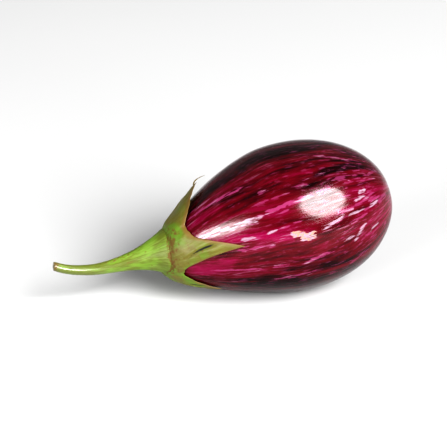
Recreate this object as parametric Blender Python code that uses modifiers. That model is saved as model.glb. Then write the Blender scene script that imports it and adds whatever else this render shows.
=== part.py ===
"""A small striped eggplant lying on its side: the fruit, the calyx that caps it, and the stem.

Metres, +Z up. The origin is the centre of the small flat spot that the fruit rests on, and +X runs
towards the blossom end. The pieces are shaped in the fruit's own frame, with X along its axis and
the origin halfway along it, and an empty then lays that frame down at the resting tilt.
"""

import math

import bmesh
import bpy
import numpy as np
from mathutils import Vector

# Fruit
FRUIT_LENGTH = 0.0938
FRUIT_DIAMETER = 0.0578
FULLNESS = 1.74  # exponent of the outline: 2 is an ellipse, less is more pointed
EGG_TAPER = 0.26  # how much wider the blossom half is than the stem half
END_SWELL = 0.07  # widens both ends alike
ARCH = 0.0014  # lift of the middle above the line between the two ends
NECK_LIFT = 0.0017  # further lift of the stem half, taken from the blossom half
RIDGES = 5  # one of them along the belly
RIDGE_HEIGHT = 0.0003
DIMPLE_DEPTH = 0.0009  # hollow around the blossom scar
DIMPLE_RADIUS = 0.0065
FRUIT_SIDES = 64
FRUIT_RINGS = 34

# Resting
REST_TILT = math.radians(13.5)  # blossom end up
FLAT_DEPTH = 0.0007  # how far the resting spot is pressed into the round belly

# Calyx: angles run round the axis, 0 at the front and 90 on top, and reaches run along the skin
GAP = 0.0003
CALYX_THICKNESS = 0.0011
LOBES = (  # angle and reach of each tip, and how much the lobe narrows towards it
    (math.radians(16), 0.0395, 2.4),
    (math.radians(118), 0.0320, 1.1),
    (math.radians(184), 0.0350, 1.7),
    (math.radians(250), 0.0300, 1.6),
    (math.radians(314), 0.0262, 1.5),
)
NOTCHES = (0.0205, 0.0175, 0.0160, 0.0150, 0.0135)  # reach of the notch after each lobe
LOBE_COLUMNS = 12  # columns from one notch to the next
CALYX_ROWS = 12

# Stem: heights are above the fruit's axis, and distances run outward from the fruit's end
COLLAR_RADIUS = 0.0094  # where the stem meets the calyx
COLLAR_BURIAL = 0.0075  # how far the uncut collar runs in past its seat
FLARE_LENGTH = 0.0085
STEM_NECK_RADIUS = 0.0023
STEM_TIP_RADIUS = 0.0016
STEM_ROUTE = (  # distance and height
    (-0.0120, 0.0022),
    (-0.0060, 0.0032),
    (0.0002, 0.0042),
    (0.0080, 0.0047),
    (0.0156, 0.0052),
    (0.0232, 0.0061),
    (0.0298, 0.0081),
    (0.0348, 0.0105),
    (0.0383, 0.0130),
)
STEM_STEPS = 40
STEM_ROUNDNESS = 10

PROFILE_SAMPLES = 721


def outline(share):
    """Unscaled radius at a share of the half-length, -1 at the stem end and 1 at the blossom end."""
    bulge = (1 - np.abs(share) ** FULLNESS).clip(0) ** (1 / FULLNESS)
    return bulge * (1 + EGG_TAPER * share + END_SWELL * share**2)


# The meridian of the fruit: share of the half-length, radius and distance along the skin
SHARES = -np.cos(np.linspace(0, math.pi, PROFILE_SAMPLES))
RADII = outline(SHARES) * FRUIT_DIAMETER / 2 / outline(SHARES).max()
STEPS_ALONG = np.hypot(np.diff(SHARES) * FRUIT_LENGTH / 2, np.diff(RADII))
REACHES = np.concatenate([[0], np.cumsum(STEPS_ALONG)])


def axis_height(share):
    """Height of the fruit's curved axis above the straight line between its ends."""
    return (ARCH - NECK_LIFT * share) * (1 - share**2)


def skin(share, angle):
    """Point of the fruit's skin; the angle is 0 at the front and 90 degrees on top."""
    radius = np.interp(share, SHARES, RADII)
    radius += RIDGE_HEIGHT * (1 - share**2) * math.cos(RIDGES * (angle + math.pi / 2))
    along = share * FRUIT_LENGTH / 2
    if share > 0:
        along -= DIMPLE_DEPTH * math.exp(-((radius / DIMPLE_RADIUS) ** 2))
    return Vector((along, -radius * math.cos(angle), axis_height(share) + radius * math.sin(angle)))


def over_skin(share, angle, lift):
    """Point at a height over the skin, measured square to it."""
    if share <= SHARES[1]:
        return skin(-1, angle) - Vector((lift, 0, 0))
    if share >= SHARES[-2]:
        return skin(1, angle) + Vector((lift, 0, 0))
    step = 1e-3
    along = skin(min(share + step, 1), angle) - skin(max(share - step, -1), angle)
    around = skin(share, angle + step) - skin(share, angle - step)
    return skin(share, angle) + lift * along.cross(around).normalized()


def clear_scene():
    """Removes whatever the scene holds."""
    for old in list(bpy.data.objects):
        bpy.data.objects.remove(old)


def make_collection(name):
    """A new collection in the scene."""
    collection = bpy.data.collections.new(name)
    bpy.context.scene.collection.children.link(collection)
    return collection


def make_material(name, colour, roughness):
    """A Principled material with one colour, not metallic."""
    material = bpy.data.materials.new(name)
    material.use_nodes = True
    shader = material.node_tree.nodes["Principled BSDF"]
    shader.inputs["Base Color"].default_value = (*colour, 1)
    shader.inputs["Roughness"].default_value = roughness
    shader.inputs["Metallic"].default_value = 0
    return material


def make_object(name, shape, collection, material=None, parent=None):
    """An object of a bmesh, a mesh or a curve, in a collection."""
    data = shape
    if isinstance(shape, bmesh.types.BMesh):
        data = bpy.data.meshes.new(name)
        shape.to_mesh(data)
        shape.free()
    made = bpy.data.objects.new(name, data)
    collection.objects.link(made)
    made.parent = parent
    if material:
        data.materials.append(material)
    if made.type == "MESH":
        data.shade_smooth()
    return made


def rest_place():
    """Where the fruit's frame stands, so that its belly meets z = 0 at the origin."""
    belly = [skin(share, -math.pi / 2) for share in SHARES]
    tilted = [
        (p.x * math.cos(REST_TILT) - p.z * math.sin(REST_TILT),
         p.x * math.sin(REST_TILT) + p.z * math.cos(REST_TILT))
        for p in belly
    ]
    lowest = min(tilted, key=lambda place: place[1])
    return Vector((-lowest[0], 0, -lowest[1] - FLAT_DEPTH))


def fruit_shape(lift=0.0):
    """A sphere drawn out to the fruit's skin, or to a surface at a height over it."""
    ball = bmesh.new()
    bmesh.ops.create_uvsphere(ball, u_segments=FRUIT_SIDES, v_segments=FRUIT_RINGS, radius=1)
    for vertex in ball.verts:
        angle = math.atan2(vertex.co.y, vertex.co.x)
        share = max(-1.0, min(1.0, vertex.co.z))
        vertex.co = over_skin(share, angle, lift) if lift else skin(share, angle)
    bmesh.ops.recalc_face_normals(ball, faces=ball.faces)
    return ball


def cut(piece, cutter):
    """Takes the cutter's space out of the piece."""
    modifier = piece.modifiers.new("cut", "BOOLEAN")
    modifier.operation = "DIFFERENCE"
    modifier.solver = "EXACT"
    modifier.object = cutter


def make_cutter(name, shape, collection, parent=None):
    """A helper object that isn't part of the eggplant."""
    cutter = make_object(name, shape, collection, parent=parent)
    cutter.hide_render = True
    cutter.display_type = "WIRE"
    return cutter


def make_fruit(collection, cutters, axis):
    """The fruit, with the flat spot that it rests on."""
    purple = make_material("skin", (0.13, 0.008, 0.045), 0.22)
    fruit = make_object("fruit", fruit_shape(), collection, purple, axis)
    ground = bmesh.new()
    bmesh.ops.create_cube(ground, size=FRUIT_LENGTH)
    bmesh.ops.translate(ground, verts=ground.verts, vec=(0, 0, -FRUIT_LENGTH / 2))
    cut(fruit, make_cutter("ground_cutter", ground, cutters))
    return fruit


def lobe_edge(position):
    """Angle and reach of the calyx's edge; a position of 0 to 1 runs once round it."""
    count = len(LOBES)
    lobe = int(position * count) % count
    across = 2 * (position * count - int(position * count)) - 1
    angle, tip, narrowing = LOBES[lobe]
    other = (lobe + 1) % count if across > 0 else (lobe - 1) % count
    apart = (LOBES[other][0] - angle) % (2 * math.pi)
    if across < 0:
        apart -= 2 * math.pi
    notch = NOTCHES[lobe] if across > 0 else NOTCHES[other]
    reach = notch + (tip - notch) * (1 - abs(across)) ** narrowing
    return angle + apart / 2 * abs(across), reach


def make_calyx(collection, axis):
    """The green cap: five pointed lobes that lie on the fruit's shoulder."""
    cap = bmesh.new()
    columns = LOBE_COLUMNS * len(LOBES)
    bmesh.ops.create_grid(cap, x_segments=columns, y_segments=CALYX_ROWS, size=0.5)
    for vertex in cap.verts:
        angle, edge = lobe_edge(min(vertex.co.x + 0.5, 1.0) % 1.0)
        reach = edge * max(0.0, min(1.0, vertex.co.y + 0.5))
        share = float(np.interp(reach, REACHES, SHARES))
        vertex.co = over_skin(share, angle, GAP)
    bmesh.ops.remove_doubles(cap, verts=cap.verts, dist=1e-5)
    bmesh.ops.recalc_face_normals(cap, faces=cap.faces)
    outward = sum((face.normal.x * face.calc_area() for face in cap.faces), 0.0) < 0
    if not outward:
        bmesh.ops.reverse_faces(cap, faces=cap.faces)
    green = make_material("calyx", (0.33, 0.45, 0.10), 0.5)
    calyx = make_object("calyx", cap, collection, green, axis)
    shell = calyx.modifiers.new("shell", "SOLIDIFY")
    shell.thickness = CALYX_THICKNESS
    shell.offset = 1
    return calyx


def seat_lift():
    """Height over the skin of the surface that the stem is seated on."""
    return GAP + CALYX_THICKNESS + GAP


def collar_inset():
    """How far inside the fruit's end the seat is as wide as the collar."""
    for share in SHARES:
        seat = over_skin(share, 0, seat_lift())
        if -seat.y >= COLLAR_RADIUS:
            return seat.x + FRUIT_LENGTH / 2
    raise ValueError("the collar is wider than the fruit")


def stem_radius(distance):
    """Radius of the uncut stem at a distance outward from the fruit's end."""
    inset = collar_inset()
    length = STEM_ROUTE[-1][0]
    shaft = STEM_NECK_RADIUS + (STEM_TIP_RADIUS - STEM_NECK_RADIUS) * max(0, distance) / length
    flare = COLLAR_RADIUS - STEM_NECK_RADIUS
    return shaft + flare * math.exp(-max(0, distance + inset) / FLARE_LENGTH)


def stem_line():
    """Distances and heights along a smooth curve through the stem's route."""
    knots = np.array(STEM_ROUTE)
    padded = np.vstack([2 * knots[0] - knots[1], knots, 2 * knots[-1] - knots[-2]])
    places = []
    for position in np.linspace(0, len(knots) - 1, STEM_STEPS):
        first = min(int(position), len(knots) - 2)
        t = position - first
        a, b, c, d = padded[first:first + 4]
        bend = (2 * a - 5 * b + 4 * c - d) * t**2 + (3 * b - a - 3 * c + d) * t**3
        places.append(b + ((c - a) * t + bend) / 2)
    return places


def curve_mesh(name, curve):
    """The mesh of a curve, with its caps welded on."""
    drawn = bpy.data.objects.new(name, curve)
    bpy.context.scene.collection.objects.link(drawn)
    graph = bpy.context.evaluated_depsgraph_get()
    mesh = bpy.data.meshes.new_from_object(drawn.evaluated_get(graph))
    bpy.data.objects.remove(drawn)
    welded = bmesh.new()
    welded.from_mesh(mesh)
    bmesh.ops.remove_doubles(welded, verts=welded.verts, dist=1e-5)
    bmesh.ops.recalc_face_normals(welded, faces=welded.faces)
    return welded


def make_stem(collection, cutters, axis):
    """The stem: a curved stalk that flares to a collar, seated on the calyx."""
    start = -collar_inset() - COLLAR_BURIAL
    places = [place for place in stem_line() if place[0] > start]
    curve = bpy.data.curves.new("stem_route", "CURVE")
    curve.dimensions = "3D"
    curve.bevel_depth = 1
    curve.bevel_resolution = STEM_ROUNDNESS
    curve.use_fill_caps = True
    line = curve.splines.new("POLY")
    line.points.add(len(places) - 1)
    for point, (distance, height) in zip(line.points, places):
        point.co = (-FRUIT_LENGTH / 2 - distance, 0, height, 1)
        point.radius = stem_radius(distance)
    green = make_material("stem", (0.37, 0.52, 0.12), 0.45)
    stem = make_object("stem", curve_mesh("stem_stalk", curve), collection, green, axis)
    cut(stem, make_cutter("seat_cutter", fruit_shape(seat_lift()), cutters, axis))
    return stem


def main():
    """Builds the eggplant at rest."""
    clear_scene()
    pieces = make_collection("eggplant")
    cutters = make_collection("cutters")
    cutters.hide_render = True
    axis = bpy.data.objects.new("fruit_axis", None)
    pieces.objects.link(axis)
    axis.rotation_euler.y = -REST_TILT
    axis.location = rest_place()
    make_fruit(pieces, cutters, axis)
    make_calyx(pieces, axis)
    make_stem(pieces, cutters, axis)


main()
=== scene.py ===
"""A small striped eggplant: streaked glossy skin, a green lobed calyx and a ribbed, curved stem.

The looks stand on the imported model, which is loaded first as a fixed frame. Everything is in metres.
The fruit has a frame of its own, in which the pieces are shaped: X runs along its axis towards the
blossom end, and angles run round that axis, 0 at the front and 90 degrees on top. A reach is a
distance along the skin from the stem end, and a lift is a height over the skin.
"""

import logging
import math
from dataclasses import dataclass
from enum import Enum
from functools import cached_property
from typing import Any, Callable, NamedTuple, Union

import bmesh
import bpy
import numpy as np
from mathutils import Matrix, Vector, noise


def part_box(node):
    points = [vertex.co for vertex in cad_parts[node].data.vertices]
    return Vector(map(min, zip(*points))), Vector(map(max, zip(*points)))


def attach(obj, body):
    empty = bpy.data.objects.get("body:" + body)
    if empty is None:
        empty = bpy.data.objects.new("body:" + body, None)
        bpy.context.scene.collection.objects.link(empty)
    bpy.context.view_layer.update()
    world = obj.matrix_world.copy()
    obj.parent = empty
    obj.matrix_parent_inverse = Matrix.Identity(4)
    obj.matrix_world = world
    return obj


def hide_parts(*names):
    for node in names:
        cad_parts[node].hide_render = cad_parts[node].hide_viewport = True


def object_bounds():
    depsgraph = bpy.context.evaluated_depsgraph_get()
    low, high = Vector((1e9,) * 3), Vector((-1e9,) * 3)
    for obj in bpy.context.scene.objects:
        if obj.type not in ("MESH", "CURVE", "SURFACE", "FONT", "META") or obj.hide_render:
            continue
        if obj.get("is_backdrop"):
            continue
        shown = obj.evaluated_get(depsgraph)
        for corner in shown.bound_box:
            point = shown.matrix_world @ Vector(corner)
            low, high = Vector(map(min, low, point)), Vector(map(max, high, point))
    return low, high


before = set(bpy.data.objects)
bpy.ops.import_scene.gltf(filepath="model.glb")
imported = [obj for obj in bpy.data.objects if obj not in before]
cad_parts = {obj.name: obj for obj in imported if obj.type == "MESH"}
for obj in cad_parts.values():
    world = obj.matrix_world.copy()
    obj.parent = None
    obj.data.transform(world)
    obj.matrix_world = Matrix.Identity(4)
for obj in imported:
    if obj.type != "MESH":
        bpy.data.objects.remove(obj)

LOG = logging.getLogger("eggplant")
BODY = "root"
MM = 0.001
GRAIN_SCALE = 100  # a grain's reach is in centimetres

Colour = tuple[float, float, float]
Value = Union[float, int, tuple, Vector, "Term"]


class Slot(Enum):
    """The record's material slots."""

    SKIN = "skin"
    CALYX = "calyx"
    STEM = "stem"


class Mark(Enum):
    """What a mesh tells its material about each vertex."""

    GRAIN = "grain"
    RIM = "rim"
    FOLD = "fold"
    SEAM = "seam"


# --- numbers ---------------------------------------------------------------------------------


def smooth_step(value: float, low: float, high: float) -> float:
    """Eased rise from 0 at low to 1 at high."""
    share = max(0.0, min(1.0, (value - low) / (high - low)))
    return share * share * (3 - 2 * share)


def paint(red: int, green: int, blue: int) -> Colour:
    """A display colour of 0 to 255 as a linear one."""
    return tuple((part / 255) ** 2.2 for part in (red, green, blue))


def ripple(point: Vector, size: float, seed: float) -> float:
    """Smooth noise from -1 to 1 with waves of about a size, at a point."""
    return noise.noise(point / size + Vector((seed, 2 * seed, 3 * seed)))


# --- materials -------------------------------------------------------------------------------


class Term:
    """A value inside a material. Arithmetic on it adds Math nodes."""

    def __init__(self, recipe: "Recipe", socket: bpy.types.NodeSocket) -> None:
        """Wraps a socket of a recipe's node tree."""
        self.recipe = recipe
        self.socket = socket

    def _math(self, operation: str, *values: Value) -> "Term":
        """The Math node of an operation on some values."""
        return self.recipe.node("ShaderNodeMath", {"operation": operation}, dict(enumerate(values)))

    def __add__(self, other: Value) -> "Term":
        """Sum."""
        return self._math("ADD", self, other)

    def __radd__(self, other: Value) -> "Term":
        """Sum with a plain number first."""
        return self._math("ADD", other, self)

    def __sub__(self, other: Value) -> "Term":
        """Difference."""
        return self._math("SUBTRACT", self, other)

    def __rsub__(self, other: Value) -> "Term":
        """Difference from a plain number."""
        return self._math("SUBTRACT", other, self)

    def __mul__(self, other: Value) -> "Term":
        """Product."""
        return self._math("MULTIPLY", self, other)

    def __rmul__(self, other: Value) -> "Term":
        """Product with a plain number first."""
        return self._math("MULTIPLY", other, self)

    def __truediv__(self, other: Value) -> "Term":
        """Quotient."""
        return self._math("DIVIDE", self, other)

    def __rtruediv__(self, other: Value) -> "Term":
        """Quotient of a plain number by this."""
        return self._math("DIVIDE", other, self)

    def __pow__(self, other: Value) -> "Term":
        """Power."""
        return self._math("POWER", self, other)

    def __neg__(self) -> "Term":
        """Opposite."""
        return self._math("MULTIPLY", self, -1)

    def __abs__(self) -> "Term":
        """Size without its sign."""
        return self._math("ABSOLUTE", self)

    def root(self) -> "Term":
        """Square root."""
        return self._math("SQRT", self)

    def cos(self) -> "Term":
        """Cosine."""
        return self._math("COSINE", self)

    def sin(self) -> "Term":
        """Sine."""
        return self._math("SINE", self)

    def angle_over(self, other: "Term") -> "Term":
        """Angle whose tangent is this over another."""
        return self._math("ARCTAN2", self, other)

    def most(self, other: Value) -> "Term":
        """The larger of two values."""
        return self._math("MAXIMUM", self, other)

    def scaled(self, factor: Value, shift: Value) -> "Term":
        """This times a factor, plus a shift."""
        return self._math("MULTIPLY_ADD", self, factor, shift)

    def eased(self, low: float, high: float) -> "Term":
        """An eased rise, or a fall where low is the higher.

        Args:
            low: Where the result is 0.
            high: Where it is 1.

        Returns:
            A value of 0 to 1.
        """
        if low > high:
            return 1 - self.eased(high, low)
        return self.recipe.node(
            "ShaderNodeMapRange", {"interpolation_type": "SMOOTHSTEP"}, {0: self, 1: low, 2: high}
        )


class Recipe:
    """The node tree of one material, round a Principled shader."""

    def __init__(self, name: str) -> None:
        """Starts a material.

        Args:
            name: The material's name.
        """
        self.material = bpy.data.materials.new(name)
        self.material.use_nodes = True
        self.tree = self.material.node_tree
        self.shader = self.tree.nodes["Principled BSDF"]

    def node(
        self,
        kind: str,
        settings: dict[str, Any] | None = None,
        inputs: dict[int | str, Value] | None = None,
        output: int | str = 0,
    ) -> Term:
        """Adds a node.

        Args:
            kind: The node's type.
            settings: Its properties, or the stops of a ramp, which are set first.
            inputs: What its sockets hold or are linked to, by number or name.
            output: The socket to go on with, by number or name.

        Returns:
            The chosen output.
        """
        made = self.tree.nodes.new(kind)
        for name, setting in (settings or {}).items():
            if name == "stops":
                self._set_stops(made.color_ramp, setting)
            else:
                setattr(made, name, setting)
        for key, value in (inputs or {}).items():
            self._feed(made.inputs[key], value)
        return Term(self, made.outputs[output])

    def _set_stops(self, ramp: bpy.types.ColorRamp, stops: list[tuple[float, Colour]]) -> None:
        """Gives a ramp its stops.

        Args:
            ramp: The ramp, which has two stops to begin with.
            stops: A position and a colour for each stop.
        """
        while len(ramp.elements) < len(stops):
            ramp.elements.new(1.0)
        for element, (position, colour) in zip(ramp.elements, stops):
            element.position = position
            element.color = (*colour, 1)

    def _feed(self, socket: bpy.types.NodeSocket, value: Value) -> None:
        """Links or sets a socket.

        Args:
            socket: The socket.
            value: A term to link to it, or what it holds.
        """
        if isinstance(value, Term):
            self.tree.links.new(value.socket, socket)
        elif socket.type == "RGBA":
            socket.default_value = (*value, 1)
        else:
            socket.default_value = value

    def finish(self, **inputs: Value) -> bpy.types.Material:
        """Feeds the shader and hands over the material.

        Args:
            **inputs: The shader's sockets by name, with _ for each space.

        Returns:
            The material.
        """
        for name, value in inputs.items():
            self._feed(self.shader.inputs[name.replace("_", " ")], value)
        return self.material

    def mix(self, factor: Value, first: Value, second: Value) -> Term:
        """Two colours mixed by a factor, the first at 0 and the second at 1."""
        return self.node("ShaderNodeMix", {"data_type": "RGBA"}, {0: factor, 6: first, 7: second}, 2)

    def ramp(self, factor: Value, *stops: tuple[float, Colour]) -> Term:
        """A colour ramp over a factor."""
        return self.node("ShaderNodeValToRGB", {"stops": list(stops)}, {0: factor})

    def cloud(self, where: Term, scale: float, detail: float = 2.0, roughness: float = 0.5) -> Term:
        """Smooth noise of about 0.3 to 0.7 with a mean of 0.5."""
        inputs = {"Vector": where, "Scale": scale, "Detail": detail, "Roughness": roughness}
        return self.node("ShaderNodeTexNoise", {}, inputs)

    def joined(self, x: Value, y: Value, z: Value) -> Term:
        """A vector of three values."""
        return self.node("ShaderNodeCombineXYZ", {}, {0: x, 1: y, 2: z})

    def split(self, vector: Term) -> tuple[Term, Term, Term]:
        """The three values of a vector.

        Args:
            vector: The vector.

        Returns:
            Its X, Y and Z.
        """
        made = self.tree.nodes.new("ShaderNodeSeparateXYZ")
        self._feed(made.inputs[0], vector)
        return tuple(Term(self, socket) for socket in made.outputs)

    def mark(self, mark: Mark) -> Term:
        """What the mesh says of a point: a vector for the grain, or a number."""
        output = "Vector" if mark is Mark.GRAIN else "Fac"
        return self.node("ShaderNodeAttribute", {"attribute_name": mark.value}, {}, output)

    def relief(self, height: Value, depth: float, strength: float) -> Term:
        """A bump of a depth in metres from a height of 0 to 1."""
        inputs = {"Strength": strength, "Distance": depth, "Height": height}
        return self.node("ShaderNodeBump", {}, inputs)


# --- forms -----------------------------------------------------------------------------------


@dataclass(frozen=True)
class FruitForm:
    """The fruit's shape and where it lies.

    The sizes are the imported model's own. Its highest corner, from the frame, gives the place.
    """

    length: float = 0.0938
    diameter: float = 0.0578
    fullness: float = 1.74
    taper: float = 0.26
    swell: float = 0.07
    arch: float = 0.0014
    neck_lift: float = 0.0017
    ridges: int = 5
    ridge_height: float = 0.0003
    dimple_depth: float = 0.0009
    dimple_radius: float = 0.0065
    tilt: float = math.radians(13.5)
    samples: int = 721

    def outline(self, share: float) -> float:
        """Unscaled radius at a share of the half-length, -1 at the stem end."""
        bulge = max(0.0, 1 - abs(share) ** self.fullness) ** (1 / self.fullness)
        return bulge * (1 + self.taper * share + self.swell * share**2)

    @cached_property
    def shares(self) -> np.ndarray:
        """Shares of the half-length, closer together at the ends."""
        return -np.cos(np.linspace(0, math.pi, self.samples))

    @cached_property
    def scale(self) -> float:
        """What turns the unscaled radius into the real one."""
        return self.diameter / 2 / max(self.outline(share) for share in self.shares)

    @cached_property
    def meridian(self) -> np.ndarray:
        """Points (along the axis, radius) of the skin at the shares."""
        radii = [self.outline(share) * self.scale for share in self.shares]
        return np.column_stack([self.shares * self.length / 2, radii])

    @cached_property
    def reaches(self) -> np.ndarray:
        """Distance along the skin from the stem end at the shares."""
        steps = np.linalg.norm(np.diff(self.meridian, axis=0), axis=1)
        return np.concatenate([[0], np.cumsum(steps)])

    def share_at(self, reach: float) -> float:
        """The share at a reach."""
        return float(np.interp(reach, self.reaches, self.shares))

    def axis_height(self, share: float) -> float:
        """Height of the curved axis over the straight line between the fruit's ends."""
        return (self.arch - self.neck_lift * share) * (1 - share**2)

    def skin(self, share: float, angle: float) -> Vector:
        """A point of the skin, in the fruit's frame.

        Args:
            share: Its share of the half-length.
            angle: Its angle round the axis.

        Returns:
            The point.
        """
        radius = self.outline(share) * self.scale
        phase = self.ridges * (angle + math.pi / 2)
        radius += self.ridge_height * (1 - share**2) * math.cos(phase)
        along = share * self.length / 2
        if share > 0:
            along -= self.dimple_depth * math.exp(-((radius / self.dimple_radius) ** 2))
        height = self.axis_height(share) + radius * math.sin(angle)
        return Vector((along, -radius * math.cos(angle), height))

    def outward(self, share: float, angle: float) -> Vector:
        """The direction square to the skin, away from the fruit.

        Args:
            share: A point's share of the half-length.
            angle: Its angle round the axis.

        Returns:
            A direction of length 1.
        """
        if share <= self.shares[1] or share >= self.shares[-2]:
            return Vector((math.copysign(1.0, share), 0, 0))
        step = 1e-3
        ahead, behind = min(share + step, 1), max(share - step, -1)
        along = self.skin(ahead, angle) - self.skin(behind, angle)
        around = self.skin(share, angle + step) - self.skin(share, angle - step)
        return along.cross(around).normalized()

    def over_skin(self, share: float, angle: float, lift: float) -> Vector:
        """A point at a lift over the skin, in the fruit's frame."""
        return self.skin(share, angle) + lift * self.outward(share, angle)

    def seen_from_skin(self, point: Vector) -> tuple[float, float, float]:
        """Where a point near the fruit lies over its skin.

        Args:
            point: The point, in the fruit's frame.

        Returns:
            Its reach, angle and lift, which is below 0 inside the fruit.
        """
        height = point.z - self.axis_height(max(-1.0, 2 * point.x / self.length))
        angle = math.atan2(height, -point.y)
        spot = np.array([point.x, math.hypot(height, point.y)])
        away = spot - self.meridian
        nearest = int(np.argmin(np.hypot(away[:, 0], away[:, 1])))
        inside = abs(spot[0]) < self.length / 2 and spot[1] < float(
            np.interp(spot[0], self.meridian[:, 0], self.meridian[:, 1])
        )
        lift = float(np.hypot(*away[nearest])) * (-1 if inside else 1)
        return float(self.reaches[nearest]), angle, lift

    def turned(self, point: Vector) -> Vector:
        """A point of the fruit's frame at the resting tilt, before it is put in place."""
        cos, sin = math.cos(self.tilt), math.sin(self.tilt)
        return Vector((point.x * cos - point.z * sin, point.y, point.x * sin + point.z * cos))

    @cached_property
    def place(self) -> Vector:
        """Where the fruit's frame stands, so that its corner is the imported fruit's.

        Returns:
            The place of the frame's origin.
        """
        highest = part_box("fruit")[1]
        top_and_bottom = (math.pi / 2, -math.pi / 2)
        line = [self.turned(self.skin(share, angle)) for share in self.shares for angle in top_and_bottom]
        farthest, tallest = max(point.x for point in line), max(point.z for point in line)
        return Vector((highest.x - farthest, 0, highest.z - tallest))

    def laid(self, point: Vector) -> Vector:
        """A point of the fruit's frame where the eggplant lies."""
        return self.turned(point) + self.place


@dataclass(frozen=True)
class StemForm:
    """The stem's line and thickness, with the flare by which it opens onto the calyx."""

    fruit: FruitForm
    collar_radius: float = 0.0094
    collar_inset: float = 0.0037
    flare_length: float = 0.0085
    neck_radius: float = 0.0023
    tip_radius: float = 0.0016
    least_lift: float = 0.0013
    brown_middle: float = math.radians(28)
    brown_spread: float = math.radians(48)
    route: tuple[tuple[float, float], ...] = (
        (-0.0120, 0.0022),
        (-0.0060, 0.0032),
        (0.0002, 0.0042),
        (0.0080, 0.0047),
        (0.0156, 0.0052),
        (0.0232, 0.0061),
        (0.0298, 0.0081),
        (0.0348, 0.0105),
        (0.0383, 0.0130),
    )

    @property
    def length(self) -> float:
        """How far the stem reaches past the fruit's end."""
        return self.route[-1][0]

    @cached_property
    def line(self) -> np.ndarray:
        """A smooth curve through the route, by Catmull and Rom's formula.

        Returns:
            A distance and a height in each row.
        """
        knots = np.array(self.route)
        padded = np.vstack([2 * knots[0] - knots[1], knots, 2 * knots[-1] - knots[-2]])
        places = []
        for position in np.linspace(0, len(knots) - 1, 400):
            first = min(int(position), len(knots) - 2)
            t = position - first
            a, b, c, d = padded[first:first + 4]
            bend = (2 * a - 5 * b + 4 * c - d) * t**2 + (3 * b - a - 3 * c + d) * t**3
            places.append(b + ((c - a) * t + bend) / 2)
        return np.array(places)

    def height(self, distance: float) -> float:
        """Height of the line at a distance outward from the fruit's end."""
        return float(np.interp(distance, self.line[:, 0], self.line[:, 1]))

    def radius(self, distance: float) -> float:
        """Radius of the stem, with its flare.

        Args:
            distance: How far out of the fruit's end.

        Returns:
            The radius.
        """
        along = max(0.0, distance) / self.length
        shaft = self.neck_radius + (self.tip_radius - self.neck_radius) * along
        flare = self.collar_radius - self.neck_radius
        return shaft + flare * math.exp(-(distance + self.collar_inset) / self.flare_length)

    def heading(self, distance: float) -> Vector:
        """Direction of the line, away from the fruit.

        Args:
            distance: How far out of the fruit's end.

        Returns:
            A direction of length 1.
        """
        step = 0.0005
        rise = self.height(distance + step) - self.height(distance - step)
        return Vector((-2 * step, 0, rise)).normalized()

    def point(self, distance: float, turn: float, width: float = 1.0) -> Vector:
        """A point of the stem's surface, or one nearer to its line.

        Args:
            distance: How far out of the fruit's end.
            turn: The angle round the line, 0 at the front and 90 degrees on top.
            width: Its share of the radius.

        Returns:
            The point, in the fruit's frame.
        """
        ahead = self.heading(distance)
        up = Vector((ahead.z, 0, -ahead.x))
        centre = Vector((-self.fruit.length / 2 - distance, 0, self.height(distance)))
        side = Vector((0, -math.cos(turn), 0)) + up * math.sin(turn)
        return centre + side * (self.radius(distance) * width)

    def seam_distance(self, turn: float) -> float:
        """Finds where the flare comes out of the calyx, by halving.

        Args:
            turn: The angle round the stem.

        Returns:
            The distance out of the fruit's end.
        """
        low, high = -self.collar_inset, self.length / 2
        while high - low > 1e-6:
            middle = (low + high) / 2
            if self.fruit.seen_from_skin(self.point(middle, turn))[2] < self.least_lift:
                low = middle
            else:
                high = middle
        return high

    @cached_property
    def seam(self) -> np.ndarray:
        """Points of the seam, all round the stem.

        Returns:
            Turn round the stem, distance, angle, reach and lift in each row.
        """
        rows = []
        for turn in np.linspace(-math.pi, math.pi, 361):
            distance = self.seam_distance(turn)
            reach, angle, lift = self.fruit.seen_from_skin(self.point(distance, turn))
            rows.append((turn, distance, angle, reach, lift))
        return np.array(rows)

    @cached_property
    def seam_round(self) -> np.ndarray:
        """The seam's points by their angle round the fruit, for a little over one round.

        Returns:
            Angle, reach and lift in each row.
        """
        table = self.seam[np.argsort(self.seam[:, 2])][:, 2:]
        round_on = np.array([2 * math.pi, 0, 0])
        return np.vstack([table[-5:] - round_on, table, table[:5] + round_on])

    def seam_at(self, angle: float) -> tuple[float, float]:
        """The seam at an angle.

        Args:
            angle: The angle round the fruit.

        Returns:
            Its reach and lift there.
        """
        angles, reaches, lifts = self.seam_round.T
        turn = math.remainder(angle, 2 * math.pi)
        return float(np.interp(turn, angles, reaches)), float(np.interp(turn, angles, lifts))

    def browned(self, angle: float) -> float:
        """How brown the seam is at an angle round the fruit."""
        away = math.remainder(angle - self.brown_middle, 2 * math.pi) / self.brown_spread
        return 0.1 + 0.9 * math.exp(-(away**2))

    def seam_out(self, turn: float) -> float:
        """Distance outward of the seam at a turn round the stem."""
        return float(np.interp(turn, self.seam[:, 0], self.seam[:, 1]))


class Spot(NamedTuple):
    """A vertex's place in the fruit's frame, with what it tells the material."""

    point: Vector
    marks: dict[Mark, Union[float, Vector]]


# --- pieces ----------------------------------------------------------------------------------


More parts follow.
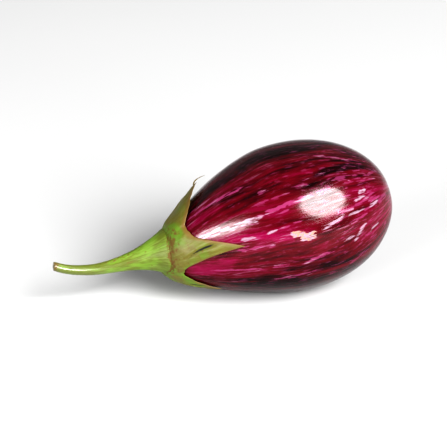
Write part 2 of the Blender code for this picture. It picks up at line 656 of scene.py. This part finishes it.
@dataclass
class Piece:
    """A sub-assembly that is shaped round the fruit, drawn from balls and ridden on the frame."""

    fruit: FruitForm

    def ball(self, segments: int, rings: int, spot: Callable[[float, float], Spot]) -> bmesh.types.BMesh:
        """A sphere of which each vertex is moved to a spot.

        Args:
            segments: How many columns it has.
            rings: How many rows it has.
            spot: Gives the spot for a row of 0 to 1 and a turn in radians.

        Returns:
            The mesh, where the eggplant lies.
        """
        ball = bmesh.new()
        kinds = ball.verts.layers
        layers = {Mark.GRAIN: kinds.float_vector.new(Mark.GRAIN.value)}
        layers |= {mark: kinds.float.new(mark.value) for mark in Mark if mark is not Mark.GRAIN}
        bmesh.ops.create_uvsphere(ball, u_segments=segments, v_segments=rings, radius=1)
        for vertex in ball.verts:
            row = math.acos(max(-1.0, min(1.0, -vertex.co.z))) / math.pi
            turn = math.atan2(vertex.co.y, vertex.co.x)
            place, marks = spot(row, turn)
            vertex.co = self.fruit.laid(place)
            for mark, value in marks.items():
                vertex[layers[mark]] = value
        bmesh.ops.recalc_face_normals(ball, faces=ball.faces)
        return ball

    def put(
        self,
        name: str,
        shape: bmesh.types.BMesh,
        material: bpy.types.Material,
        slot: Slot,
        node: str,
    ) -> bpy.types.Object:
        """Makes a mesh a piece of the eggplant.

        Args:
            name: The piece's name.
            shape: Its mesh, which is used up.
            material: Its finish.
            slot: The record's slot for it; not used.
            node: The CAD node that it stands for.

        Returns:
            The piece.
        """
        mesh = bpy.data.meshes.new(name)
        shape.to_mesh(mesh)
        shape.free()
        mesh.materials.append(material)
        mesh.shade_smooth()
        piece = bpy.data.objects.new(name, mesh)
        bpy.context.scene.collection.objects.link(piece)
        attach(piece, BODY)
        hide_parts(node)
        LOG.info("%s: %d faces", name, len(mesh.polygons))
        return piece


@dataclass(frozen=True)
class Streak:
    """A stroke on the skin, which is a streak, a patch or a mark, from one place to another.

    Places are a share of the half-length and degrees round the axis. The width is in millimetres.
    """

    start: tuple[float, float]
    end: tuple[float, float]
    width: float
    strength: float = 1.0


@dataclass(frozen=True)
class SkinFinish:
    """Glossy maroon skin with magenta zones and broken lengthwise streaks."""

    dark: Colour = paint(26, 0, 7)
    crimson: Colour = paint(80, 0, 22)
    magenta: Colour = paint(112, 0, 55)
    pink: Colour = paint(133, 54, 92)
    white: Colour = paint(146, 124, 138)
    tan: Colour = paint(160, 124, 104)
    cork: Colour = paint(136, 92, 44)
    cork_dark: Colour = paint(88, 54, 24)
    cream: Colour = paint(148, 134, 98)
    scar_width: float = 2.6 * MM
    scar_height: float = 4.2 * MM
    white_streaks_and_highlight: tuple[Streak, ...] = (
        # The first two strokes are a real pale streak and a painted highlight together, where the left
        # softbox's reflection lies.
        Streak((-0.69, 41), (-0.38, 34.5), 2.4),
        Streak((-0.44, 35), (-0.15, 34.5), 1.5, 0.9),
        Streak((-0.37, 21), (-0.25, 20), 0.9, 0.8),
        Streak((-0.17, 20.5), (-0.08, 21), 1.0, 0.9),
        Streak((0.25, 12.5), (0.47, 18), 1.4, 0.85),
        Streak((0.50, 16.5), (0.67, 18), 1.2, 0.8),
        Streak((0.69, 16.5), (0.79, 18.5), 1.3, 0.8),
        Streak((0.58, 26.5), (0.69, 28), 1.1, 0.9),
        Streak((0.63, 31.5), (0.71, 34), 1.6),
        Streak((0.39, -3.5), (0.51, -1), 1.2, 0.9),
        Streak((0.49, -7), (0.64, 5), 1.5, 0.8),
        Streak((0.65, -7), (0.75, -4), 1.3, 0.7),
    )
    pink_streaks: tuple[Streak, ...] = (
        Streak((-0.69, 72), (-0.19, 64.5), 1.1),
        Streak((-0.66, 79), (-0.48, 77), 0.7, 0.6),
        Streak((-0.24, 35.5), (0.48, 41), 1.3, 0.95),
        Streak((-0.14, 53.5), (-0.03, 53.5), 0.9, 0.6),
        Streak((-0.24, 45.5), (0.12, 45.5), 0.5, 0.6),
        Streak((-0.44, 12), (-0.14, 10), 0.9, 0.8),
        Streak((-0.08, 21.5), (0.13, 23), 0.7, 0.8),
        Streak((-0.64, -7.5), (-0.26, -9.5), 0.7, 0.9),
        Streak((-0.25, -8.5), (-0.05, -9), 1.0, 0.8),
        Streak((0.02, -10), (0.33, -6.5), 1.2, 0.85),
        Streak((-0.18, -23), (0.13, -20), 1.1, 0.75),
        Streak((0.50, 8.5), (0.67, 12), 1.0, 0.8),
        Streak((0.78, 16), (0.90, 20), 1.6, 0.7),
        Streak((0.40, 73.5), (0.66, 67), 1.0, 0.6),
        Streak((0.76, 47), (0.88, 60), 1.0, 0.5),
        Streak((0.43, -29), (0.56, -24), 1.1, 0.5),
    )
    bright_patches: tuple[Streak, ...] = (
        Streak((-0.70, 63), (-0.38, 58), 3.6, 0.7),
        Streak((-0.56, 27), (-0.06, 16), 3.2),
        Streak((-0.85, -12), (-0.40, 4), 5.0),
        Streak((-0.15, 14), (0.04, 11), 2.4),
        Streak((-0.55, 100), (-0.15, 94), 4.0, 0.25),
        Streak((-0.05, 61), (0.40, 58), 3.2, 0.5),
    )
    dark_patches: tuple[Streak, ...] = (
        Streak((-0.46, 52), (-0.12, 49), 3.4, 0.35),
        Streak((-0.60, 92), (0.60, 87), 7.0, 0.9),
        Streak((0.30, 54), (0.82, 60), 3.4, 0.8),
        Streak((-0.62, -30), (0.10, -27), 6.0, 0.6),
        Streak((0.10, -18), (0.70, -22), 4.0, 0.5),
    )
    cork_marks: tuple[Streak, ...] = (
        Streak((0.01, 14.5), (0.13, 13.5), 1.6),
        Streak((0.07, 10.5), (0.21, 11.0), 1.9),
    )
    roughness: float = 0.15

    def material(self, fruit: FruitForm) -> bpy.types.Material:
        """The finish on a fruit.

        Args:
            fruit: The form that the pattern follows.

        Returns:
            The material.
        """
        recipe = Recipe("striped_skin")
        space = recipe.node("ShaderNodeTexCoord", {}, {}, "Object")
        turned = {"Vector": space, "Location": fruit.place, "Rotation": (0, -fruit.tilt, 0)}
        x, y, z = recipe.split(recipe.node("ShaderNodeMapping", {"vector_type": "TEXTURE"}, turned))
        share = x / (fruit.length / 2)
        height = z - share.scaled(-fruit.neck_lift, fruit.arch) * (1 - share * share)
        radius = (y * y + height * height).root()
        plain = height.angle_over(-y)
        drift = recipe.cloud(recipe.joined(share * 1.6, plain.cos() * 1.3, plain.sin() * 1.3), 1, 1)
        angle = plain + (drift - 0.5) * 0.22
        cos, sin = angle.cos(), angle.sin()

        def grain(along: float, around: float, seed: float, detail: float = 2.0) -> Term:
            """Noise of about -1 to 1, drawn out along the fruit: waves along it and round it."""
            where = recipe.joined(share.scaled(along, seed), cos * around, sin * around)
            return recipe.cloud(where, 1, detail).scaled(4.5, -2.25)

        broad = grain(1.2, 2.6, 4.0)
        medium = grain(2.8, 12.0, 9.0, 3.0)
        fine = grain(6.0, 26.0, 2.0, 3.0)
        hair = grain(7.0, 60.0, 5.0, 2.0)
        crumb = grain(13.0, 30.0, 6.0, 3.0)
        breakup = crumb * 0.8 + hair * 0.3 + medium * 0.2

        def drawn(streaks: tuple[Streak, ...], raggedness: float, fade: float = 0.6) -> Term:
            """Where any of some streaks lies.

            Args:
                streaks: The streaks.
                raggedness: How far the grain breaks up their edges.
                fade: How softly the edges fade.

            Returns:
                A mask of 0 to 1.
            """
            found = None
            for streak in streaks:
                (first, low), (last, high) = streak.start, streak.end
                along = share.scaled(1 / (last - first), -first / (last - first))
                line = along.scaled(math.radians(high - low), math.radians(low))
                aside = (plain - line) * radius / (streak.width * 0.7 * MM)
                ends = along.scaled(2, -1) ** 4
                inside = breakup.scaled(raggedness, 1.0) - aside * aside - ends
                mask = inside.eased(0.1, 0.1 + fade) * streak.strength
                found = mask if found is None else found.most(mask)
            return found

        # The ground: dark on top and underneath, crimson to magenta between and by the calyx
        facing = (height.angle_over(abs(y)) - math.radians(24)).cos().most(0)
        neck = share.eased(-0.45, -0.85)
        rich = broad * 0.2 + medium * 0.26 + fine * 0.14 + facing ** 2.2 * 0.44 + neck * 0.1
        rich = rich + drawn(self.bright_patches, 0.4, 1.0) * 0.4
        rich = rich - drawn(self.dark_patches, 0.4, 1.0) * 0.4
        stops = (0.0, self.dark), (0.42, self.crimson), (0.95, self.magenta)
        ground = recipe.ramp(rich.scaled(1, 0.04), *stops)

        # Streaks that follow the grain, longer near the calyx and shorter near the blossom end
        near_end = share.eased(0.1, 0.75)
        zone = (grain(0.9, 2.4, 17.0) + 0.1 + near_end * 0.5).eased(0.0, 0.5)
        lines = (1 - abs(grain(1.7, 17.0, 23.0, 2.0)) * 5).eased(0.15, 0.75) * zone
        lines = lines * (fine + medium * 0.5).eased(-0.1, 0.5) * (1 - near_end * 0.7)
        shown = (facing ** 4).scaled(0.85, 0.15)
        dashes = (grain(6.5, 18.0, 31.0, 3.0) + near_end * 0.36 * shown).eased(0.62, 0.95)
        hairs = hair.eased(0.45, 1.0) * 0.35 * zone
        loose = lines.most(dashes).most(hairs)
        pinks = drawn(self.pink_streaks, 1.5).most(loose * shown * 0.85)
        # Pale streaks, which by the calyx also hold a painted highlight
        whites_and_highlight = drawn(self.white_streaks_and_highlight, 1.4, 1.1)
        flecks = crumb.eased(0.25, 0.85) * (near_end * 0.4 + 0.2)
        colour = recipe.mix(flecks.most(pinks * 0.8), ground, self.pink)
        glints = pinks * (hair * 0.5 + fine).eased(0.3, 0.9) * 0.7
        colour = recipe.mix(whites_and_highlight.most(glints), colour, self.white)

        # The cork mark, and the scar at the blossom end
        speckle = recipe.cloud(space, 900, 3, 0.7)
        mark = drawn(self.cork_marks, 1.8)
        flaking = recipe.mix(speckle.eased(0.4, 0.6), self.tan, self.white)
        colour = recipe.mix(mark * 0.9, colour, flaking)
        blossom = share.eased(0.5, 0.6)
        oval = ((y / self.scar_width) ** 2 + (height / self.scar_height) ** 2).root()
        ragged = oval + grain(0.0, 5.0, 51.0) * 0.25
        rays = (ragged + grain(0.0, 9.0, 57.0, 1.0) * 1.5).eased(2.5, 1.6) * blossom
        ring = ragged.eased(2.0, 1.6) * blossom
        scar = ragged.eased(1.15, 0.95) * blossom
        colour = recipe.mix(rays * 0.6, colour, self.white)
        colour = recipe.mix(ring, colour, self.cream)
        bark = recipe.mix(speckle.eased(0.42, 0.6), self.cork_dark, self.cork)
        colour = recipe.mix(scar, colour, bark)

        corky = scar.most(mark * 0.7)
        gloss = corky * 0.45 + ring * 0.12 + pinks * 0.06 + fine * 0.02 + self.roughness
        relief = pinks * 0.4 + whites_and_highlight * 0.4 + fine * 0.4 + medium * 0.3 + hair * 0.25
        relief = relief - corky * speckle * 2.5
        wax = plain.sin().eased(-0.5, 0.3) * (fine * 0.14 + hair * 0.12 + crumb * 0.08 + 0.47)
        return recipe.finish(
            Base_Color=colour,
            Roughness=gloss,
            Normal=recipe.relief(relief, 0.12 * MM, 0.5),
            IOR=1.2,
            Coat_Weight=wax,
            Coat_Roughness=0.13,
        )


@dataclass
class Fruit(Piece):
    """The egg-shaped fruit, with slight unevenness and a corky scar at the blossom end.

    The skin waves by the unevenness round a level that is sunk by a number of times as much, so
    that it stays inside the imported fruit.
    """

    finish: SkinFinish = SkinFinish()
    segments: int = 256
    rings: int = 176
    unevenness: float = 0.09 * MM
    sinking: float = 1.4
    wave: float = 17 * MM
    scar_rise: float = 0.25 * MM

    def spot(self, row: float, turn: float) -> Spot:
        """The skin at a place.

        Args:
            row: How far along the fruit, from 0 to 1.
            turn: The angle round it.

        Returns:
            The spot.
        """
        share = -math.cos(math.pi * row)
        skin = self.fruit.skin(share, turn)
        lift = self.unevenness * (ripple(skin, self.wave, 3.0) - self.sinking)
        if share > 0.8:
            height = skin.z - self.fruit.axis_height(share)
            oval = math.hypot(skin.y / self.finish.scar_width, height / self.finish.scar_height)
            crust = 0.6 + 0.4 * ripple(skin, 1.2 * MM, 8.0)
            lift += self.scar_rise * crust * smooth_step(oval, 1.2, 0.9)
        point = skin + lift * self.fruit.outward(share, turn)
        return Spot(point, {})

    def build(self) -> bpy.types.Object:
        """Draws the fruit and presses its resting spot flat.

        Returns:
            The piece.
        """
        shape = self.ball(self.segments, self.rings, self.spot)
        for vertex in shape.verts:
            vertex.co.z = max(vertex.co.z, 0.0)
        material = self.finish.material(self.fruit)
        return self.put("eggplant_fruit", shape, material, Slot.SKIN, "fruit")


@dataclass(frozen=True)
class GreenFinish:
    """Fleshy green plant tissue with a lengthwise grain and brown scars."""

    name: str
    bright: Colour
    olive: Colour
    pale: Colour
    roughness: float
    brown: Colour = paint(88, 54, 14)
    # painted shade for the creases
    painted_crease_shade: Colour = paint(20, 16, 4)
    edge: Colour = paint(104, 81, 43)
    coat: float = 0.0
    scars: float = 0.0
    spots: float = 0.5
    flare_dullness: float = 0.0

    def material(self) -> bpy.types.Material:
        """The finish, for a mesh with its marks.

        Returns:
            The material.
        """
        recipe = Recipe(self.name)
        reach, cos, sin = recipe.split(recipe.mark(Mark.GRAIN))
        rim, fold, seam = (recipe.mark(mark) for mark in (Mark.RIM, Mark.FOLD, Mark.SEAM))

        def grained(along: float, around: float, seed: float, detail: float = 2.0) -> Term:
            """Noise of about 0.3 to 0.7, drawn out along the grain."""
            where = recipe.joined(reach.scaled(along, seed), cos * around, sin * around)
            return recipe.cloud(where, 1, detail)

        mottle = grained(1.3, 1.6, 3.0, 3.0) - reach.eased(1.3, 2.8) * 0.12
        lines = grained(1.6, 13.0, 7.0, 3.0)
        fibres = grained(3.0, 34.0, 11.0, 2.0)
        cracks = grained(8.0, 7.0, 37.0, 4.0)
        ragged = (mottle - 0.5) * 1.2 + (lines - 0.5) * 0.8
        green = recipe.mix(mottle.eased(0.38, 0.62), self.olive, self.bright)
        green = recipe.mix(lines.eased(0.52, 0.7) * 0.35, green, self.pale)
        green = recipe.mix(fibres.eased(0.45, 0.7) * 0.25, green, self.pale)
        green = recipe.mix(lines.eased(0.46, 0.3) * 0.5, green, self.olive)
        scar = (grained(1.2, 3.4, 19.0, 3.0) + (fibres - 0.5) * 0.25).eased(0.64, 0.70) * self.scars
        # Brown at the seams, the hair and the cut end, and on the stem also painted shade along the
        # shaft's top and bottom
        browning_and_edge_shade = (seam + ragged * 0.9 + (cracks - 0.5) * 3.0).eased(0.5, 1.0) * 0.8
        spots = (cracks + (fibres - 0.5) * 0.8).eased(0.66, 0.74) * self.spots
        green = recipe.mix(browning_and_edge_shade.most(scar).most(spots), green, self.brown)
        green = recipe.mix((rim + ragged * 0.6).eased(0.35, 0.95) * 0.85, green, self.edge)
        # Painted shade: the crease along each lobe is darkened nearly to black
        green = recipe.mix((fold + ragged * 1.0).eased(0.35, 0.75), green, self.painted_crease_shade)
        dull = reach.eased(1.8, 0.6) * self.flare_dullness
        relief = lines * 0.7 + fibres * 0.35 + mottle * 0.6 - fold * 0.6 - browning_and_edge_shade * 0.4
        return recipe.finish(
            Base_Color=green,
            Roughness=mottle.scaled(0.2, self.roughness - 0.1) + browning_and_edge_shade * 0.2 + fold * 0.4 + dull,
            Normal=recipe.relief(relief, 0.22 * MM, 0.6),
            Specular_IOR_Level=0.45,
            Coat_Weight=reach.eased(0.8, 2.2) * self.coat,
            Coat_Roughness=0.16,
        )


@dataclass(frozen=True)
class Lobe:
    """One lobe of the calyx. Angles are in degrees round the fruit.

    The tip has an angle and a reach. Narrowing is how quickly the lobe thins towards it, notch the
    reach of the gap after the lobe, lift how far the tip stands off the skin, and bend how far the
    base lies from the tip's angle. The fold is a groove along the lobe, of a depth.
    """

    angle: float
    reach: float
    narrowing: float
    notch: float
    lift: float = 0.0
    bend: float = 0.0
    fold: float = 0.5 * MM


@dataclass
class Calyx(Piece):
    """The green cap over the fruit's shoulder, with five pointed lobes."""

    stem: StemForm
    columns: int = 400
    rows: int = 110
    lobes: tuple[Lobe, ...] = (
        Lobe(15, 0.0402, 3.2, 0.0205, 0.1 * MM, 6),
        Lobe(116, 0.0330, 0.95, 0.0175, 2.2 * MM, 0, 0.4 * MM),
        Lobe(184, 0.0350, 1.9, 0.0160, 0.8 * MM, -4),
        Lobe(250, 0.0310, 1.8, 0.0150, 0.2 * MM, 4),
        Lobe(315, 0.0275, 1.6, 0.0135, 0.0, -3, 0.35 * MM),
    )
    thickness: float = 1.15 * MM
    edge_thickness: float = 0.6 * MM
    least_thickness: float = 0.3 * MM
    edge_fullness: float = 0.55
    clearance: float = 0.12 * MM
    seam_gap: float = 0.12 * MM
    bed_lift: float = 0.9 * MM
    shoulder_length: float = 9.0 * MM
    groove_depth: float = 0.28 * MM
    groove_width: float = 0.8 * MM
    edge_waver: float = 0.6 * MM
    crease_width: float = 0.5 * MM
    ridge_aside: float = 1.5 * MM
    ridge_width: float = 0.9 * MM
    ridge_height: float = 0.25 * MM
    swells: float = 0.30 * MM
    bumps: float = 0.14 * MM
    brown_reach: float = 4.2 * MM
    hair_inset: float = 1.6 * MM
    hair_curl: float = 5.2 * MM
    hair_sway: float = 0.1 * MM
    hair_rise: float = 2.9 * MM
    hair_radius: float = 0.36 * MM
    hair_columns: int = 12
    hair_rows: int = 60

    def edge(self, turn: float) -> tuple[Lobe, float, float, float]:
        """The calyx's edge at a turn, of which each lobe takes an equal share.

        Args:
            turn: The turn.

        Returns:
            The lobe, how far across it from -1 to 1, and the edge's angle and reach.
        """
        count = len(self.lobes)
        position = (turn / (2 * math.pi)) % 1.0 * count
        index = int(position) % count
        across = 2 * (position - int(position)) - 1
        lobe = self.lobes[index]
        other = self.lobes[(index + (1 if across > 0 else -1)) % count]
        apart = math.radians((other.angle - lobe.angle) % 360)
        if across < 0:
            apart -= 2 * math.pi
        notch = (lobe if across > 0 else other).notch
        reach = notch + (lobe.reach - notch) * (1 - abs(across)) ** lobe.narrowing
        round_trip = Vector((math.cos(turn), math.sin(turn), 0))
        reach += self.edge_waver * ripple(round_trip, 0.09, 7.0)
        return lobe, across, math.radians(lobe.angle) + apart / 2 * abs(across), reach

    def outer_lift(self, reach: float, angle: float, share: float) -> float:
        """Lift of the outer side, which starts as the bed under the stem's seat.

        Args:
            reach: A point's reach.
            angle: Its angle round the fruit.
            share: How near it is to the edge, from 0 to 1.

        Returns:
            The lift.
        """
        seam_reach, seam_lift = self.stem.seam_at(angle)
        if reach < seam_reach:
            rise = smooth_step(reach / seam_reach, 0.3, 1.0)
            return self.bed_lift + (seam_lift - self.seam_gap - self.bed_lift) * rise
        past = reach - seam_reach
        body = self.edge_thickness + (self.thickness - self.edge_thickness) * (1 - share**3)
        shoulder = (seam_lift - body) * math.exp(-((past / self.shoulder_length) ** 2))
        groove = self.groove_depth * math.exp(-((past / self.groove_width) ** 2))
        return body + shoulder - groove

    def spot(self, row: float, turn: float) -> Spot:
        """The cap's outer side for rows up to a half, and its inner side for the rest.

        Args:
            row: How far from the middle of the outer side to that of the inner, from 0 to 1.
            turn: The turn, which picks the lobe.

        Returns:
            The spot.
        """
        lobe, across, angle, edge = self.edge(turn)
        share = math.sin(math.pi * row)
        reach = edge * share
        toward_tip = reach / lobe.reach
        angle += math.radians(lobe.bend) * (1 - toward_tip**2) * (1 - abs(across))
        crease, ridge = self.creased(lobe, reach, angle)
        off = lobe.lift * smooth_step(toward_tip, 0.5, 1.0)
        inner = self.clearance + off
        outer = max(self.outer_lift(reach, angle, share), self.clearance + self.least_thickness) + off
        skin_share = self.fruit.share_at(reach)
        skin = self.fruit.skin(skin_share, angle)
        seam_reach = self.stem.seam_at(angle)[0]
        shown = smooth_step(reach, seam_reach, seam_reach + 3 * MM)
        rough = self.swells * ripple(skin, 5 * MM, 5.0) + self.bumps * ripple(skin, 1.7 * MM, 6.0)
        outer += shown * (rough + ridge * self.ridge_height - crease * lobe.fold)
        middle, half = (outer + inner) / 2, (outer - inner) / 2
        side = math.cos(math.pi * row)
        lift = middle + half * math.copysign(abs(side) ** self.edge_fullness, side)
        rim = smooth_step(share, 0.82, 1.0) * smooth_step(reach, 12 * MM, 20 * MM)
        tip = smooth_step(toward_tip, 0.68, 0.95)
        near_seam = math.exp(-(((reach - seam_reach) / self.brown_reach) ** 2))
        marks = {
            Mark.GRAIN: Vector((reach * GRAIN_SCALE, math.cos(angle), math.sin(angle))),
            Mark.RIM: max(rim, 0.75 * tip),
            Mark.FOLD: crease if side > 0 else 0.0,
            Mark.SEAM: self.stem.browned(angle) * near_seam,
        }
        return Spot(self.fruit.over_skin(skin_share, angle, lift), marks)

    def creased(self, lobe: Lobe, reach: float, angle: float) -> tuple[float, float]:
        """How a lobe is creased, slantwise along its middle stretch.

        Args:
            lobe: The lobe.
            reach: A point's reach.
            angle: Its angle round the fruit.

        Returns:
            The depth of the crease and the height of the ridges beside it, from 0 to 1.
        """
        toward_tip = reach / lobe.reach
        slant = 30 * toward_tip - 13.5 + 1.6 * math.sin(14 * toward_tip)
        centre = math.radians(lobe.angle + lobe.bend * (1 - toward_tip**2) + slant)
        aside = math.remainder(angle - centre, 2 * math.pi) * self.fruit.diameter * 0.35
        window = smooth_step(toward_tip, 0.34, 0.52) * smooth_step(toward_tip, 0.84, 0.64)
        width = self.crease_width * (1 + 0.5 * ripple(Vector((reach, aside, 0)), 3 * MM, 1.0))
        crease = math.exp(-((aside / width) ** 2)) * window
        ridge = math.exp(-(((abs(aside) - self.ridge_aside) / self.ridge_width) ** 2)) * window
        return crease, ridge

    def hair_spot(self, row: float, turn: float) -> Spot:
        """The dried hair on the top lobe's tip, which rises and curls over the fruit.

        Args:
            row: How far along the hair, from 0 to 1.
            turn: The angle round it.

        Returns:
            The spot.
        """
        lobe = self.lobes[1]
        share = self.fruit.share_at(lobe.reach - self.hair_inset)
        root = self.fruit.over_skin(share, math.radians(lobe.angle), lobe.lift * 0.9 + 0.3 * MM)
        along = self.hair_curl * row**2.2 - self.hair_sway * math.sin(math.pi * row)
        rise = self.hair_rise * math.sin(math.pi / 2 * row)
        thick = self.hair_radius * (1 - 0.75 * row) * math.sin(math.pi * row) ** 0.2
        tilt = math.atan2(along, rise + 1e-9)
        across = Vector((math.cos(tilt), 0, -math.sin(tilt))) * math.cos(turn)
        point = root + Vector((along, 0, rise)) + (across + Vector((0, math.sin(turn), 0))) * thick
        return Spot(point, {Mark.GRAIN: Vector((row, turn, 0)), Mark.SEAM: 1.0})

    def build_hair(self, material: bpy.types.Material) -> bpy.types.Object:
        """Draws the hair."""
        shape = self.ball(self.hair_columns, self.hair_rows, self.hair_spot)
        return self.put("calyx_tip_hair", shape, material, Slot.CALYX, "calyx")

    def build(self) -> bpy.types.Object:
        """Draws the cap and its hair, and dresses them.

        Returns:
            The cap.
        """
        bright, olive, pale = paint(82, 108, 28), paint(90, 84, 30), paint(108, 113, 60)
        material = GreenFinish("calyx_green", bright, olive, pale, roughness=0.50).material()
        self.build_hair(material)
        shape = self.ball(self.columns, self.rows, self.spot)
        return self.put("eggplant_calyx", shape, material, Slot.CALYX, "calyx")


@dataclass
class Stem(Piece):
    """The ribbed stalk, from its seat on the calyx to its cut end."""

    form: StemForm
    bed_lift: float
    columns: int = 160
    rows: int = 220
    seat_rows: float = 0.08
    end_rows: float = 0.05
    ribs: int = 5
    rib_height: float = 0.035
    rib_twist: float = 12.0
    waviness: float = 0.035
    brown_reach: float = 1.6 * MM
    end_width: float = 0.93
    end_hollow: float = 0.12 * MM
    end_roughness: float = 0.1 * MM
    end_roundness: float = 0.25 * MM
    clearance: float = 0.12 * MM

    def seat(self, share: float, turn: float) -> Vector:
        """The underside, which rests on the calyx's bed.

        Args:
            share: The share of the way from its middle to the seam.
            turn: The angle round the stem.

        Returns:
            The point, in the fruit's frame.
        """
        seam = self.form.point(self.form.seam_out(turn), turn)
        reach, angle, seam_lift = self.fruit.seen_from_skin(seam)
        bed = self.bed_lift + self.clearance
        lift = bed + (seam_lift - bed) * smooth_step(share, 0.3, 1.0)
        return self.fruit.over_skin(self.fruit.share_at(reach * share), angle, lift)

    def spot(self, row: float, turn: float) -> Spot:
        """The seat, then the flare and the stalk, then the cut face.

        Args:
            row: How far along all of them, from 0 to 1.
            turn: The angle round the stem.

        Returns:
            The spot.
        """
        form = self.form
        first = form.seam_out(turn)
        if row < self.seat_rows:
            point = self.seat(row / self.seat_rows, turn)
            return Spot(point, self.marks(first, turn, 1.0, 0.0))
        if row > 1 - self.end_rows:
            width = (1 - row) / self.end_rows
            rough = self.end_roughness * ripple(Vector((width, turn, 0)), 0.6, 2.0)
            sunk = self.end_hollow * (1 - width**2) + rough
            point = form.point(form.length, turn, width * self.end_width)
            point -= form.heading(form.length) * sunk
            return Spot(point, self.marks(form.length, turn, 0.0, 1.0))
        along = (row - self.seat_rows) / (1 - self.seat_rows - self.end_rows)
        distance = first + (form.length - first) * along
        past = distance - first
        rib = math.cos(self.ribs * (turn - 0.35) + self.rib_twist * distance)
        width = 1 + self.rib_height * rib * smooth_step(past, 0.0, 4 * MM)
        place = Vector((distance * 40, math.cos(turn), math.sin(turn)))
        width += self.waviness * ripple(place, 0.6, 4.0)
        width -= 0.03 * math.exp(-((past / (0.7 * MM)) ** 2))
        rounding = max(0.0, 1 - (form.length - distance) / self.end_roundness)
        width -= (1 - self.end_width) * rounding**2
        near_end = smooth_step(distance, form.length - 3 * MM, form.length)
        # Painted shade: the shaft's top and bottom, where its outline lies, are browned
        side = smooth_step(abs(math.sin(turn)), 0.7, 1.0) * smooth_step(past, 3 * MM, 20 * MM)
        seam = form.browned(turn) * math.exp(-((past / self.brown_reach) ** 2))
        marks = self.marks(distance, turn, seam, max(near_end, 0.55 * side))
        return Spot(form.point(distance, turn, width), marks)

    def marks(self, distance: float, turn: float, seam: float, end: float) -> dict[Mark, Any]:
        """What the stem tells its material at a place."""
        grain = Vector((distance * GRAIN_SCALE, math.cos(turn), math.sin(turn)))
        # The end share also carries the painted shade along the shaft's top and bottom
        return {Mark.GRAIN: grain, Mark.SEAM: max(seam * 0.8, end)}

    def build(self) -> bpy.types.Object:
        """Draws the stem and dresses it.

        Returns:
            The piece.
        """
        bright, olive, pale = paint(94, 121, 38), paint(80, 88, 24), paint(122, 138, 76)
        finish = GreenFinish(
            "stem_green",
            bright,
            olive,
            pale,
            roughness=0.32,
            coat=0.7,
            scars=0.35,
            spots=0.15,
            flare_dullness=0.22,
        )
        shape = self.ball(self.columns, self.rows, self.spot)
        return self.put("eggplant_stem", shape, finish.material(), Slot.STEM, "stem")


# --- studio ----------------------------------------------------------------------------------


@dataclass(frozen=True)
class Softbox:
    """A rectangular light. Directions are in degrees, and the radiance is in display units."""

    name: str
    azimuth: float
    elevation: float
    distance: float
    width: float
    height: float
    radiance: float

    def build(self, target: Vector) -> None:
        """Hangs the light.

        Args:
            target: The point that it faces.
        """
        light = bpy.data.lights.new(self.name, "AREA")
        light.shape = "ELLIPSE"
        light.size, light.size_y = self.width, self.height
        light.energy = self.radiance * math.pi * math.pi / 4 * self.width * self.height
        hung = bpy.data.objects.new(self.name, light)
        bpy.context.scene.collection.objects.link(hung)
        away = toward(self.azimuth, self.elevation)
        hung.location = target + away * self.distance
        hung.rotation_euler = away.to_track_quat("Z", "Y").to_euler()


def toward(azimuth: float, elevation: float) -> Vector:
    """Direction from the object to a viewer.

    Args:
        azimuth: Degrees round it, 0 at the front and 90 on the right.
        elevation: Degrees over its level.

    Returns:
        A direction of length 1.
    """
    turn, rise = math.radians(azimuth), math.radians(elevation)
    level = math.cos(rise)
    return Vector((math.sin(turn) * level, -math.cos(turn) * level, math.sin(rise)))


@dataclass(frozen=True)
class Studio:
    """A pale floor, soft lights and the camera."""

    softboxes: tuple[Softbox, ...] = (
        Softbox("softbox_right", 27.5, 34.0, 2.7, 1.90, 1.72, 21.5),
        Softbox("softbox_left", -57.0, 17.0, 2.7, 1.70, 0.74, 19.0),
    )
    camera_azimuth: float = -14.0
    camera_elevation: float = 25.0
    camera_distance: float = 0.65
    lens: float = 138.0
    sky: float = 0.21
    floor_size: float = 6.0

    def build_floor(self) -> None:
        """Lays the floor."""
        recipe = Recipe("studio_floor_white")
        space = recipe.node("ShaderNodeTexCoord", {}, {}, "Object")
        stops = (0.3, paint(183, 183, 183)), (0.7, paint(186, 186, 186))
        tint = recipe.ramp(recipe.cloud(space, 3.0), *stops)
        material = recipe.finish(Base_Color=tint, Roughness=0.6, Specular_IOR_Level=0.2)
        shape = bmesh.new()
        bmesh.ops.create_grid(shape, x_segments=4, y_segments=4, size=self.floor_size / 2)
        mesh = bpy.data.meshes.new("studio_floor")
        shape.to_mesh(mesh)
        shape.free()
        mesh.materials.append(material)
        floor = bpy.data.objects.new("studio_floor", mesh)
        bpy.context.scene.collection.objects.link(floor)
        floor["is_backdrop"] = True

    def build_sky(self) -> None:
        """Fills in the light from all round."""
        world = bpy.data.worlds.new("studio")
        world.use_nodes = True
        background = world.node_tree.nodes["Background"]
        background.inputs["Color"].default_value = (1, 1, 1, 1)
        background.inputs["Strength"].default_value = self.sky
        bpy.context.scene.world = world

    def build_camera(self, target: Vector) -> None:
        """Sets the camera.

        Args:
            target: The point that it faces.
        """
        data = bpy.data.cameras.new("camera")
        data.lens = self.lens
        data.clip_start = 0.01
        camera = bpy.data.objects.new("camera", data)
        bpy.context.scene.collection.objects.link(camera)
        away = toward(self.camera_azimuth, self.camera_elevation)
        camera.location = target + away * self.camera_distance
        camera.rotation_euler = away.to_track_quat("Z", "Y").to_euler()
        bpy.context.scene.camera = camera

    def build(self, target: Vector) -> None:
        """Builds the whole studio.

        Args:
            target: The point that the lights and the camera face.
        """
        self.build_floor()
        self.build_sky()
        for softbox in self.softboxes:
            softbox.build(target)
        self.build_camera(target)
        bpy.context.scene.view_settings.view_transform = "Standard"
        bpy.context.scene.view_settings.look = "High Contrast"


def main() -> None:
    """Builds the eggplant and the studio."""
    logging.basicConfig(level=logging.INFO, format="%(message)s")
    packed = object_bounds()
    fruit = FruitForm()
    stem = StemForm(fruit)
    calyx = Calyx(fruit, stem)
    Fruit(fruit).build()
    calyx.build()
    Stem(fruit, stem, calyx.bed_lift).build()
    Studio().build((packed[0] + packed[1]) / 2)


if __name__ == "__main__":
    main()
